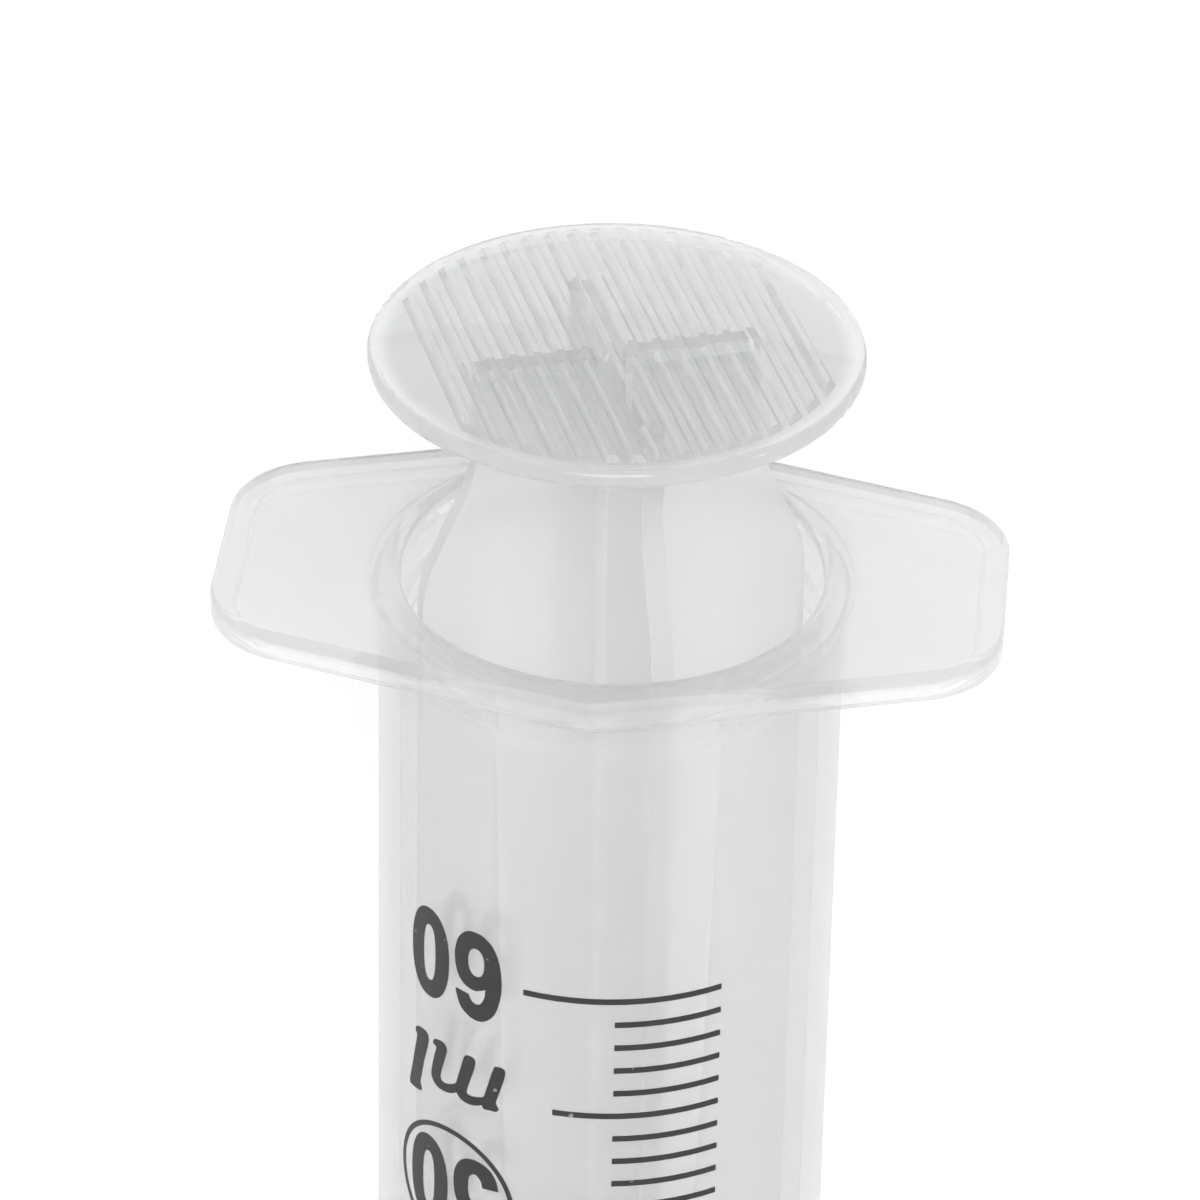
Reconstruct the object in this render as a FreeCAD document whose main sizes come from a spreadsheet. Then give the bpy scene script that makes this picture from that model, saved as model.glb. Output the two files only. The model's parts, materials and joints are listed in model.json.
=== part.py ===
import FreeCAD, Part
import math
import os
import Sketcher

# A 60 ml luer lock syringe: a barrel with a finger flange, a plunger rod with a ribbed thumb
# disc, a rubber stopper snapped on the rod's head, and the printed scale on the barrel.
#
# Every piece is drawn upright about the Z axis. Height 0 is where the straight bore ends at
# the nozzle, and +Z points to the thumb disc. The wings of the finger flange lie along X.
# rest_placement then lays the whole syringe down as it comes to rest on a table.

# Driving dimensions in millimetres, degrees, millilitres or counts
SIZES = {
    # barrel tube
    "bore_radius": 13.35,
    "barrel_wall": 1.35,
    "capacity": 60,
    "top_mark_depth": 23.35,
    "mouth_rounding": 0.7,
    "bead_depth": 3.4,
    "bead_length": 2.4,
    "bead_height": 0.4,
    # finger flange
    "flange_thickness": 2.2,
    "flange_land": 1.11,
    "wing_reach": 10.1,
    "wing_end_half_width": 9.1,
    "wing_corner_rounding": 6.0,
    "flange_apex_rounding": 2.0,
    "flange_edge_rounding": 0.45,
    "neck_rounding": 0.55,
    "pocket_depth": 0.6,
    "side_border": 0.95,
    "end_border": 1.6,
    "pocket_rounding": 0.25,
    "boss_wall": 0.62,
    # nozzle end
    "nose_depth": 3.5,
    "front_wall": 2.0,
    "shoulder_rounding": 1.2,
    "fluid_bore_radius": 1.1,
    "cone_tip_radius": 1.985,
    "cone_taper": 0.03,
    "cone_length": 9.0,
    "collar_setback": 2.4,
    "collar_root_radius": 4.0,
    "collar_wall": 1.75,
    # plunger rod
    "disc_height": 16.4,
    "disc_radius": 15.43,
    "disc_thickness": 1.25,
    "disc_edge_rounding": 0.55,
    "ridge_height": 0.35,
    "ridge_pitch": 1.5,
    "ridge_groove": 0.45,
    "ridge_crest": 0.35,
    "ridge_side_land": 3.1,
    "ridge_margin": 0.7,
    "rod_clearance": 0.95,
    "rib_thickness": 1.4,
    "rib_neck_radius": 9.0,
    "flare_start": 0.3,
    "flare_length": 7.8,
    "flare_rounding": 9.0,
    "rib_root_rounding": 0.6,
    "rod_plate_thickness": 1.6,
    "rod_turn": 19.4,
    # rubber stopper
    "seal_clearance": 0.05,
    "end_gap": 0.3,
    "stopper_length": 15.0,
    "ring_length": 2.8,
    "ring_slope": 0.5,
    "ring_groove": 0.9,
    # snap head of the rod in the stopper
    "head_neck_radius": 5.0,
    "head_radius": 7.6,
    "head_length": 5.0,
    "head_chamfer": 1.2,
    "stopper_lip": 2.6,
    "neck_clearance": 0.08,
    "chamber_clearance": 0.25,
    "plate_gap": 0.1,
    # printed scale
    "ink_thickness": 0.04,
    "mark_width": 0.42,
    "mark_edge_angle": 34.6,
    "short_mark_angle": 27.4,
    "medium_mark_angle": 42.5,
    "long_mark_angle": 50.4,
}

MARKS_PER_MEDIUM = 5
MARKS_PER_LONG = 10
FULL_TURN = 360
NEAR = 0.001

# Lengths that several pieces share, as sums of the driving dimensions
ML_LENGTH = "1000/pi/bore_radius/bore_radius"
SCALE_LENGTH = "capacity*" + ML_LENGTH
FLANGE_TOP = "end_gap + " + SCALE_LENGTH + " + top_mark_depth"
BARREL_RADIUS = "bore_radius + barrel_wall"
FLANGE_BOTTOM = FLANGE_TOP + " - flange_thickness"
POCKET_CEILING = FLANGE_BOTTOM + " + pocket_depth"
POCKET_CORNER = "wing_corner_rounding - end_border"
BOSS_RADIUS = BARREL_RADIUS + " + boss_wall"
BOSS_TOP = FLANGE_BOTTOM + " + pocket_depth*0.5 + flange_thickness*0.5"
COLLAR_RADIUS = "collar_root_radius + collar_wall"
FRONT_FACE = "0 - nose_depth - front_wall"
CONE_TIP = FRONT_FACE + " - cone_length"
RING_RADIUS = "bore_radius - seal_clearance"
ROD_RADIUS = "bore_radius - rod_clearance"
STOPPER_TOP = "end_gap + stopper_length"
PLATE_BOTTOM = STOPPER_TOP + " + plate_gap"
PLATE_TOP = PLATE_BOTTOM + " + rod_plate_thickness"
HEAD_TOP = STOPPER_TOP + " - stopper_lip - plate_gap"
DISC_CREST = FLANGE_TOP + " + disc_height"
DISC_FACE = DISC_CREST + " - ridge_height"
DISC_UNDERSIDE = DISC_FACE + " - disc_thickness"
RIDGE_FIELD = "disc_radius - disc_edge_rounding - ridge_margin"
RIDGE_TAPER = "-atan((Sizes.ridge_pitch - Sizes.ridge_groove - Sizes.ridge_crest) / 2 / Sizes.ridge_height)"

# Sizes that follow from the others: the flange's straight side passes through the wing's end
# and keeps its distance from the tube, which gives its angle and the width at the waist
WORKED_OUT = {
    "wing_end": "=bore_radius + barrel_wall + wing_reach",
    "side_distance": "=bore_radius + barrel_wall + flange_land",
    "corner_distance": "=hypot(wing_end; wing_end_half_width)",
    "side_angle": "=atan2(wing_end; wing_end_half_width) - acos(side_distance / corner_distance)",
    "waist_half_width": "=side_distance / cos(side_angle)",
    "pocket_end": "=wing_end - end_border",
    "pocket_side": "=side_distance - side_border",
    "pocket_waist": "=pocket_side / cos(side_angle)",
    "pocket_end_half_width": "=(pocket_side - pocket_end * sin(side_angle)) / cos(side_angle)",
}

document = FreeCAD.newDocument("syringe")
sheet = document.addObject("Spreadsheet::Sheet", "Sizes")
for row, (size_name, size_value) in enumerate({**SIZES, **WORKED_OUT}.items(), start=1):
    sheet.set("A" + str(row), size_name)
    sheet.set("B" + str(row), str(size_value))
    sheet.setAlias("B" + str(row), size_name)
document.recompute()


def factor(word):
    """Value of a number, of pi or of a named cell."""
    if word == "pi":
        return math.pi
    if word[0].isdigit():
        return float(word)
    return float(sheet.get(word))


def number(formula):
    """Value of a sum such as 'bore_radius + 2*barrel_wall': spaces stand only round + and -."""
    total = 0.0
    sign = 1
    for word in formula.split():
        if word in ("+", "-"):
            sign = 1 if word == "+" else -1
            continue
        product = 1.0
        for part in word.split("*"):
            over = part.split("/")
            product *= factor(over[0])
            for divisor in over[1:]:
                product /= factor(divisor)
        total += sign * product
    return total


def expression(formula):
    """The same sum written with the names of the sheet's cells."""
    text = " " + formula.replace("*", " * ").replace("/", " / ") + " "
    for name in (*SIZES, *WORKED_OUT):
        text = text.replace(" " + name + " ", " Sizes." + name + " ")
    return text.strip()


def new_body(label):
    """An empty body with the name of its sub-part."""
    body = document.addObject("PartDesign::Body", label.title().replace("_", ""))
    body.Label = label
    return body


def origin_item(body, role):
    """The body's own origin plane or axis with this role."""
    for item in body.Origin.OriginFeatures:
        if item.Role == role:
            return item
    raise ValueError(role)


def new_sketch(body, name, role, offset=None):
    """A sketch on one of the body's origin planes, lifted by a formula along the plane's normal."""
    sketch = body.newObject("Sketcher::SketchObject", name)
    sketch.AttachmentSupport = [(origin_item(body, role), "")]
    sketch.MapMode = "FlatFace"
    if offset is not None:
        sketch.AttachmentOffset = FreeCAD.Placement(FreeCAD.Vector(0, 0, number(offset)), FreeCAD.Rotation())
        sketch.setExpression("AttachmentOffset.Base.z", expression(offset))
    return sketch


def pin_point(sketch, edge, which, axis, formula):
    """Hold one coordinate of a line's end at a formula's value."""
    value = number(formula)
    if abs(value) < NEAR and formula == "0":
        sketch.addConstraint(Sketcher.Constraint("PointOnObject", edge, which, -2 if axis == "X" else -1))
        return
    index = sketch.addConstraint(Sketcher.Constraint("Distance" + axis, -1, 1, edge, which, value))
    sketch.setExpression("Constraints[" + str(index) + "]", expression(formula))


def add_polygon(sketch, corners):
    """A closed outline of straight lines whose corners are pairs of formulas."""
    places = [FreeCAD.Vector(number(x), number(y), 0) for x, y in corners]
    first = sketch.GeometryCount
    for index, place in enumerate(places):
        following = places[(index + 1) % len(places)]
        sketch.addGeometry(Part.LineSegment(place, following), False)
    for index in range(len(places)):
        after = (index + 1) % len(places)
        sketch.addConstraint(Sketcher.Constraint("Coincident", first + index, 2, first + after, 1))
    for index, (x, y) in enumerate(corners):
        pin_point(sketch, first + index, 1, "X", x)
        pin_point(sketch, first + index, 1, "Y", y)


def turned(body, kind, name, corners):
    """Turn a profile of (radius, height) corners about Z, as a Revolution or a Groove."""
    sketch = new_sketch(body, name + "_profile", "XZ_Plane")
    add_polygon(sketch, corners)
    document.recompute()
    feature = body.newObject("PartDesign::" + kind, name)
    feature.Profile = sketch
    feature.ReferenceAxis = (sketch, ["V_Axis"])
    feature.Angle = FULL_TURN
    document.recompute()
    return feature


def rounded(body, name, base, edges, formula):
    """Round the picked edges of a feature."""
    if not edges:
        raise ValueError("no edge to round for " + name)
    fillet = body.newObject("PartDesign::Fillet", name)
    fillet.Base = (base, edges)
    fillet.Radius = number(formula)
    fillet.setExpression("Radius", expression(formula))
    document.recompute()
    return fillet


def edges_where(shape, test):
    """Names of the edges that pass a test."""
    return ["Edge" + str(index) for index, edge in enumerate(shape.Edges, start=1) if test(edge)]


def is_ring(edge, radius, height):
    """True for a full or part circle about Z with this radius at this height."""
    if not isinstance(edge.Curve, Part.Circle):
        return False
    centre = edge.Curve.Center
    on_axis = math.hypot(centre.x, centre.y) < NEAR
    return on_axis and abs(edge.Curve.Radius - radius) < NEAR and abs(centre.z - height) < NEAR


def at_height(edge, height):
    """True for an edge that lies level at this height."""
    box = edge.BoundBox
    return abs(box.ZMin - height) < NEAR and abs(box.ZMax - height) < NEAR


# Rest on a table: the syringe leans on a straight side of the flange and on its shoulder

def rest_placement(turn=0.0):
    """Placement of a piece in the lying syringe, turned first about its own axis by degrees.

    The far side of the left wing points down, the thumb disc towards -Y and the nozzle
    towards +Y, a little lower than the disc. The origin is under the middle of the length.
    """
    high = number(FLANGE_TOP + " - flange_thickness + flange_edge_rounding")
    low = number("shoulder_rounding - front_wall")
    lean = math.atan2(number("side_distance") - number(BARREL_RADIUS), high - low)
    roll = FreeCAD.Rotation(FreeCAD.Vector(0, 0, 1), turn - number("side_angle"))
    lay = FreeCAD.Rotation(FreeCAD.Vector(1, 0, 0), -90)
    face = FreeCAD.Rotation(FreeCAD.Vector(0, 0, 1), 180)
    tilt = FreeCAD.Rotation(FreeCAD.Vector(1, 0, 0), -math.degrees(lean))
    rotation = tilt.multiply(face).multiply(lay).multiply(roll)
    up = FreeCAD.Rotation(tilt.multiply(face).multiply(lay))
    touch = up.multVec(FreeCAD.Vector(0, number("side_distance"), high))
    middle = up.multVec(FreeCAD.Vector(0, 0, (number(DISC_CREST) + number(CONE_TIP)) / 2))
    return FreeCAD.Placement(FreeCAD.Vector(0, -middle.y, -touch.z), rotation)


def is_in_pocket(edge):
    """True for an edge whose ends lie inside the outline of the pocket under the wings."""
    angle = math.radians(number("side_angle"))
    for place in (edge.valueAt(edge.FirstParameter), edge.valueAt(edge.LastParameter)):
        from_middle = abs(place.x) * math.sin(angle) + abs(place.y) * math.cos(angle)
        if abs(place.x) > number("pocket_end") + NEAR or from_middle > number("pocket_side") + NEAR:
            return False
    return True


def add_wing_pockets(body):
    """A shallow pocket in the flange's underside, as long as both wings, inside a border."""
    outline = new_sketch(body, "PocketOutline", "XY_Plane", POCKET_CEILING)
    add_polygon(outline, [
        ("0", "pocket_waist"),
        ("0 - pocket_end", "pocket_end_half_width"),
        ("0 - pocket_end", "0 - pocket_end_half_width"),
        ("0", "0 - pocket_waist"),
        ("pocket_end", "0 - pocket_end_half_width"),
        ("pocket_end", "pocket_end_half_width"),
    ])
    document.recompute()
    pocket = body.newObject("PartDesign::Pocket", "WingPockets")
    pocket.Profile = outline
    pocket.Length = number("pocket_depth")
    pocket.setExpression("Length", expression("pocket_depth"))
    document.recompute()
    ceiling = number(POCKET_CEILING)
    bottom = number(FLANGE_BOTTOM)

    def is_corner(e):
        box = e.BoundBox
        upright = abs(box.ZMax - ceiling) < NEAR and box.XLength + box.YLength < NEAR
        return upright and abs(abs(box.XMin) - number("pocket_end")) < NEAR

    def is_pocket_edge(e):
        return (at_height(e, ceiling) or at_height(e, bottom)) and is_in_pocket(e)

    corners = rounded(body, "PocketCorners", pocket, edges_where(pocket.Shape, is_corner), POCKET_CORNER)
    picked = edges_where(corners.Shape, is_pocket_edge)
    return rounded(body, "PocketEdges", corners, picked, "pocket_rounding")


def make_barrel():
    """The moulded barrel: tube, finger flange, shoulder, luer cone and lock collar."""
    body = new_body("barrel")
    # The flange plate: a long hexagon, blunt at the waist and at the wing ends
    outline = new_sketch(body, "FlangeOutline", "XY_Plane", FLANGE_TOP)
    add_polygon(outline, [
        ("0", "waist_half_width"),
        ("0 - wing_end", "wing_end_half_width"),
        ("0 - wing_end", "0 - wing_end_half_width"),
        ("0", "0 - waist_half_width"),
        ("wing_end", "0 - wing_end_half_width"),
        ("wing_end", "wing_end_half_width"),
    ])
    document.recompute()
    flange = body.newObject("PartDesign::Pad", "Flange")
    flange.Profile = outline
    flange.Reversed = True
    flange.Length = number("flange_thickness")
    flange.setExpression("Length", expression("flange_thickness"))
    document.recompute()
    top = number(FLANGE_TOP)
    bottom = number(FLANGE_BOTTOM)

    def is_upright(e):
        box = e.BoundBox
        full_height = abs(box.ZMax - top) < NEAR and abs(box.ZMin - bottom) < NEAR
        return full_height and box.XLength + box.YLength < NEAR

    def is_wing_corner(e):
        return is_upright(e) and abs(e.BoundBox.XMin) > number(BARREL_RADIUS)

    def is_apex(e):
        return is_upright(e) and abs(e.BoundBox.XMin) < NEAR

    picked = edges_where(flange.Shape, is_wing_corner)
    corners = rounded(body, "WingCorners", flange, picked, "wing_corner_rounding")
    apexes = rounded(body, "Apexes", corners, edges_where(corners.Shape, is_apex), "flange_apex_rounding")
    # A shallow pocket in the underside inside a border, and soft rims above and below
    hollowed = add_wing_pockets(body)

    def is_rim(e):
        return (at_height(e, top) or at_height(e, bottom)) and not is_in_pocket(e)

    rounded(body, "FlangeRims", hollowed, edges_where(hollowed.Shape, is_rim), "flange_edge_rounding")
    outer_shoulder = "0 - front_wall"
    # The outside of the tube, with a boss under the flange, down to its shoulder, the collar and
    # the luer cone
    tube = turned(body, "Revolution", "BarrelOutside", [
        ("0", FLANGE_TOP),
        (BARREL_RADIUS, FLANGE_TOP),
        (BARREL_RADIUS, BOSS_TOP),
        (BOSS_RADIUS, BOSS_TOP),
        (BOSS_RADIUS, FLANGE_BOTTOM),
        (BARREL_RADIUS, FLANGE_BOTTOM),
        (BARREL_RADIUS, outer_shoulder),
        (COLLAR_RADIUS, FRONT_FACE),
        (COLLAR_RADIUS, CONE_TIP + " + collar_setback"),
        ("collar_root_radius", CONE_TIP + " + collar_setback"),
        ("collar_root_radius", FRONT_FACE),
        ("cone_tip_radius + cone_length*cone_taper", FRONT_FACE),
        ("cone_tip_radius", CONE_TIP),
        ("0", CONE_TIP),
    ])
    edge = edges_where(tube.Shape, lambda e: is_ring(e, number(BARREL_RADIUS), number(outer_shoulder)))
    shoulder = rounded(body, "Shoulder", tube, edge, "shoulder_rounding")
    edge = edges_where(shoulder.Shape, lambda e: is_ring(e, number(BARREL_RADIUS), bottom))
    rounded(body, "Neck", shoulder, edge, "neck_rounding")
    # The bore with its stop bead under the mouth, the cone at its end and the fluid way
    bead_top = FLANGE_TOP + " - bead_depth"
    bead_bottom = bead_top + " - bead_length"
    bore = turned(body, "Groove", "Bore", [
        ("0", FLANGE_TOP),
        ("bore_radius", FLANGE_TOP),
        ("bore_radius", bead_top),
        ("bore_radius - bead_height", bead_top + " - bead_height"),
        ("bore_radius - bead_height", bead_bottom + " + bead_height"),
        ("bore_radius", bead_bottom),
        ("bore_radius", "0"),
        ("fluid_bore_radius", "0 - nose_depth"),
        ("fluid_bore_radius", CONE_TIP),
        ("0", CONE_TIP),
    ])
    edge = edges_where(bore.Shape, lambda e: is_ring(e, number("bore_radius"), top))
    rounded(body, "Mouth", bore, edge, "mouth_rounding")
    body.Placement = rest_placement()
    return body


def add_ridge_plan(sketch):
    """The ridges seen from above: as many bars as fit, with their corners on one circle."""
    centre = FreeCAD.Vector(0, 0, 0)
    up = FreeCAD.Vector(0, 0, 1)
    field = number(RIDGE_FIELD)
    circle = sketch.addGeometry(Part.Circle(centre, up, field), True)
    sketch.addConstraint(Sketcher.Constraint("Coincident", circle, 3, -1, 1))
    index = sketch.addConstraint(Sketcher.Constraint("Radius", circle, field))
    sketch.setExpression("Constraints[" + str(index) + "]", expression(RIDGE_FIELD))
    count = int(number("2*disc_radius - 2*ridge_side_land") / number("ridge_pitch"))
    for bar in range(count):
        middle = "ridge_pitch*" + str(bar + 0.5) + " - ridge_pitch*" + str(count / 2)
        left = middle + " - ridge_pitch*0.5 + ridge_groove*0.5"
        right = middle + " + ridge_pitch*0.5 - ridge_groove*0.5"
        corners = []
        for side, end in ((left, 1), (left, -1), (right, -1), (right, 1)):
            across = number(side)
            corners.append(FreeCAD.Vector(across, end * math.sqrt(field * field - across * across), 0))
        first = sketch.GeometryCount
        for step in range(4):
            sketch.addGeometry(Part.LineSegment(corners[step], corners[(step + 1) % 4]), False)
        for step, side in enumerate((left, left, right, right)):
            after = first + (step + 1) % 4
            sketch.addConstraint(Sketcher.Constraint("Coincident", first + step, 2, after, 1))
            sketch.addConstraint(Sketcher.Constraint("PointOnObject", first + step, 1, circle))
            pin_point(sketch, first + step, 1, "X", side)


def make_rod():
    """The moulded plunger rod: snap head, end plate, four ribs and the ridged thumb disc."""
    body = new_body("plunger_rod")
    head_bottom = HEAD_TOP + " - head_length"
    # The head that snaps into the stopper, and the plate that pushes on it
    head = turned(body, "Revolution", "HeadAndPlate", [
        ("0", PLATE_TOP),
        (ROD_RADIUS, PLATE_TOP),
        (ROD_RADIUS, PLATE_BOTTOM),
        ("head_neck_radius", PLATE_BOTTOM),
        ("head_neck_radius", HEAD_TOP),
        ("head_radius", HEAD_TOP),
        ("head_radius", head_bottom + " + head_chamfer"),
        ("head_radius - head_chamfer", head_bottom),
        ("0", head_bottom),
    ])
    # Two crossed ribs that narrow under the thumb disc
    flare_bottom = FLANGE_TOP + " + flare_start"
    flare_top = flare_bottom + " + flare_length"
    minus_rod_radius = "0 - bore_radius + rod_clearance"
    previous = head
    for name, plane in (("SideRibs", "XZ_Plane"), ("FrontRibs", "YZ_Plane")):
        outline = new_sketch(body, name + "Outline", plane)
        add_polygon(outline, [
            (minus_rod_radius, PLATE_BOTTOM + " + rod_plate_thickness*0.5"),
            (ROD_RADIUS, PLATE_BOTTOM + " + rod_plate_thickness*0.5"),
            (ROD_RADIUS, flare_bottom),
            ("rib_neck_radius", flare_top),
            ("rib_neck_radius", DISC_UNDERSIDE + " + disc_thickness*0.5"),
            ("0 - rib_neck_radius", DISC_UNDERSIDE + " + disc_thickness*0.5"),
            ("0 - rib_neck_radius", flare_top),
            (minus_rod_radius, flare_bottom),
        ])
        document.recompute()
        previous = body.newObject("PartDesign::Pad", name)
        previous.Profile = outline
        previous.SideType = "Symmetric"
        previous.Length = number("rib_thickness")
        previous.setExpression("Length", expression("rib_thickness"))
        document.recompute()
    half = number("rib_thickness") / 2

    def is_flare_bend(e):
        box = e.BoundBox
        level = min(abs(box.ZMin - number(flare_bottom)), abs(box.ZMin - number(flare_top))) < NEAR
        return level and box.ZLength < NEAR and box.XLength + box.YLength > half

    picked = edges_where(previous.Shape, is_flare_bend)
    bends = rounded(body, "FlareBends", previous, picked, "flare_rounding")

    def is_root(e):
        box = e.BoundBox
        upright = box.XLength + box.YLength < NEAR and box.ZLength > number("disc_height")
        return upright and abs(box.XMax) < half + NEAR and abs(box.YMax) < half + NEAR

    rounded(body, "RibRoots", bends, edges_where(bends.Shape, is_root), "rib_root_rounding")
    # The thumb disc
    disc = turned(body, "Revolution", "ThumbDisc", [
        ("0", DISC_FACE),
        ("disc_radius", DISC_FACE),
        ("disc_radius", DISC_UNDERSIDE),
        ("0", DISC_UNDERSIDE),
    ])

    def is_disc_rim(e):
        face = is_ring(e, number("disc_radius"), number(DISC_FACE))
        return face or is_ring(e, number("disc_radius"), number(DISC_UNDERSIDE))

    rounded(body, "DiscRims", disc, edges_where(disc.Shape, is_disc_rim), "disc_edge_rounding")
    # Grip ridges side by side, each a low bar that ends on a circle inside the rim
    ridge_plan = new_sketch(body, "RidgePlan", "XY_Plane", DISC_FACE)
    add_ridge_plan(ridge_plan)
    document.recompute()
    ridges = body.newObject("PartDesign::Pad", "Ridges")
    ridges.Profile = ridge_plan
    ridges.Length = number("ridge_height")
    ridges.setExpression("Length", expression("ridge_height"))
    ridges.setExpression("TaperAngle", RIDGE_TAPER)
    document.recompute()
    body.Placement = rest_placement(number("rod_turn"))
    return body


def make_stopper():
    """The rubber stopper: three sealing rings, a blunt cone in front and the head's chamber."""
    body = new_body("stopper")
    valley = RING_RADIUS + " - ring_groove"
    # Three rings, evenly spaced, with a sloped groove between each two
    corners = [("0", "end_gap - nose_depth"), ("fluid_bore_radius", "end_gap - nose_depth")]
    step = "stopper_length*0.5 - ring_length*0.5"
    for bottom in ("end_gap", "end_gap + " + step, "end_gap + " + step + " + " + step):
        ring_top = bottom + " + ring_length"
        if bottom != "end_gap":
            corners.append((valley, bottom + " - ring_slope"))
        corners.append((RING_RADIUS, bottom))
        corners.append((RING_RADIUS, ring_top))
        if not bottom.endswith(step + " + " + step):
            corners.append((valley, ring_top + " + ring_slope"))
    corners.append(("0", STOPPER_TOP))
    turned(body, "Revolution", "StopperOutside", corners)
    neck_radius = "head_neck_radius + neck_clearance"
    chamber_radius = "head_radius + chamber_clearance"
    chamber_top = STOPPER_TOP + " - stopper_lip"
    chamber_bottom = HEAD_TOP + " - head_length - plate_gap"
    turned(body, "Groove", "Chamber", [
        ("0", STOPPER_TOP),
        (neck_radius, STOPPER_TOP),
        (neck_radius, chamber_top),
        (chamber_radius, chamber_top),
        (chamber_radius, chamber_bottom + " + head_chamfer"),
        (chamber_radius + " - head_chamfer", chamber_bottom),
        ("0", chamber_bottom),
    ])
    body.Placement = rest_placement()
    return body


def make_mark(height, angle):
    """One printed line: a thin band on the barrel, from the marks' common edge to the left."""
    inner = number(BARREL_RADIUS)
    outer = inner + number("ink_thickness")
    width = number("mark_width")
    base = FreeCAD.Vector(0, 0, height - width / 2)
    up = FreeCAD.Vector(0, 0, 1)
    band = Part.makeCylinder(outer, width, base, up, angle).cut(Part.makeCylinder(inner, width, base, up))
    # Angle 0 of the scale looks along -Y, and the marks' common edge is to the right of it
    band.rotate(FreeCAD.Vector(0, 0, 0), up, number("mark_edge_angle") - 90 - angle)
    return band


def make_scale():
    """The printed lines of the scale, one for each millilitre."""
    marks = []
    for count in range(int(number("capacity")) + 1):
        kind = "short_mark_angle"
        if count % MARKS_PER_MEDIUM == 0:
            kind = "medium_mark_angle"
        if count % MARKS_PER_LONG == 0:
            kind = "long_mark_angle"
        height = number("end_gap") + count * number(ML_LENGTH)
        marks.append(make_mark(height, number(kind)))
    scale = document.addObject("Part::Feature", "ScaleMarks")
    scale.Shape = Part.makeCompound(marks)
    scale.Label = "scale_marks"
    scale.Placement = rest_placement()
    return scale


def check_document():
    """Stop if any object of the document failed."""
    for item in document.Objects:
        if "Invalid" in item.State or "Error" in item.State:
            raise ValueError(item.Name + " failed: " + str(item.State))


def write_parts(pieces):
    """Write each sub-part's shape to a file with its name."""
    for piece in pieces:
        if piece.Shape.isNull() or not piece.Shape.isValid():
            raise ValueError(piece.Label + " has no valid shape")
    os.makedirs("parts", exist_ok=True)
    for piece in pieces:
        piece.Shape.exportStep("parts/" + piece.Label + ".step")
        box = piece.Shape.optimalBoundingBox()
        print(piece.Label, len(piece.Shape.Solids), "solids,", round(piece.Shape.Volume, 1), "mm3, from",
              [round(value, 2) for value in (box.XMin, box.YMin, box.ZMin)], "to",
              [round(value, 2) for value in (box.XMax, box.YMax, box.ZMax)])


pieces = [make_barrel(), make_rod(), make_stopper(), make_scale()]
document.recompute()
check_document()
write_parts(pieces)
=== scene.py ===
# %% [markdown]
# # A large luer lock syringe
# This lesson dresses a finished solid model of a 50/60 ml ward syringe in Blender.
# The solids arrive in metres, at their real size, lying on a table with the thumb disc
# towards -Y and the nozzle towards +Y. Nothing that moves is modelled again here: the
# lesson adds the finishes, the printed numbers, the thread in the lock collar, the table,
# the light and the camera.

# %% Load the solids
import json
import math

import bpy
from mathutils import Matrix, Vector


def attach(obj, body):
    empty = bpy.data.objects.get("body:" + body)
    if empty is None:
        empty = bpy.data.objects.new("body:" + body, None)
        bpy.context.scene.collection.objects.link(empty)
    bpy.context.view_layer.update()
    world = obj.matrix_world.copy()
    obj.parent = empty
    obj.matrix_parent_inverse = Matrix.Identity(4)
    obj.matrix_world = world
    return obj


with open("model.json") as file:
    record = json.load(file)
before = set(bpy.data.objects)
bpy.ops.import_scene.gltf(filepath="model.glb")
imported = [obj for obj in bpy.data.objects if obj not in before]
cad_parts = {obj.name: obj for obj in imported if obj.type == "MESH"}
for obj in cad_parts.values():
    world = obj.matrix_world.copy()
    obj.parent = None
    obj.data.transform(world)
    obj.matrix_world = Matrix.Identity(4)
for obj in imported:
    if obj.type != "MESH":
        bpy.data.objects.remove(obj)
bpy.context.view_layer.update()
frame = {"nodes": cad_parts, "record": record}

MM = 0.001

# %% [markdown]
# ## The syringe's own axes
# The syringe lies a little askew, so every added piece is drawn in the syringe's own axes
# and then placed: X runs to a wing, -Y comes out of the printed side, and Z runs up the
# axis from the end of the bore to the thumb disc. The record of the solids holds the
# direction of the sliding joint and the middle of one wing, and those two give the axes.
# Reading them, instead of typing them in, keeps the print on the barrel if the pose changes.

# %% Axes of the syringe
BARREL_RADIUS = 14.7
FLANGE_HEIGHT = 130.8115
CONE_TIP_HEIGHT = -14.5
ML_LENGTH = 1000 / (math.pi * 13.35 ** 2)
ZERO_HEIGHT = 0.3

mounts = {m["name"]: m for m in frame["record"]["mounts"]}
slide = next(j for j in frame["record"]["behaviour"]["joints"] if j["name"] == "plunger_slide")
axis_z = Vector(slide["axis"]).normalized()
tip = Vector(mounts["luer_lock"]["pos_m"])
wing = Vector(mounts["flange_back"]["pos_m"]) - tip
flange_height = wing.dot(axis_z) / MM + CONE_TIP_HEIGHT
axis_x = (wing - axis_z * wing.dot(axis_z)).normalized()
axis_y = axis_z.cross(axis_x)
bore_end = tip - axis_z * CONE_TIP_HEIGHT * MM
syringe_axes = Matrix.Translation(bore_end) @ Matrix((axis_x, axis_y, axis_z)).transposed().to_4x4()
print("flange top at", round(flange_height, 3), "mm, expected", FLANGE_HEIGHT)


def at_mark(millilitres):
    """Height in mm of a scale line above the end of the bore."""
    return ZERO_HEIGHT + ML_LENGTH * millilitres


# %% [markdown]
# ## The camera
# The photograph looks down on the thumb disc at about 33 degrees, from close by, with a
# long lens. The camera is worked out beside the syringe and then carried to where the
# syringe lies, so the picture shows the same view of it. The viewer's own axes are turned
# by a few degrees from the wings, because the wings aren't quite square to the lens.

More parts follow.
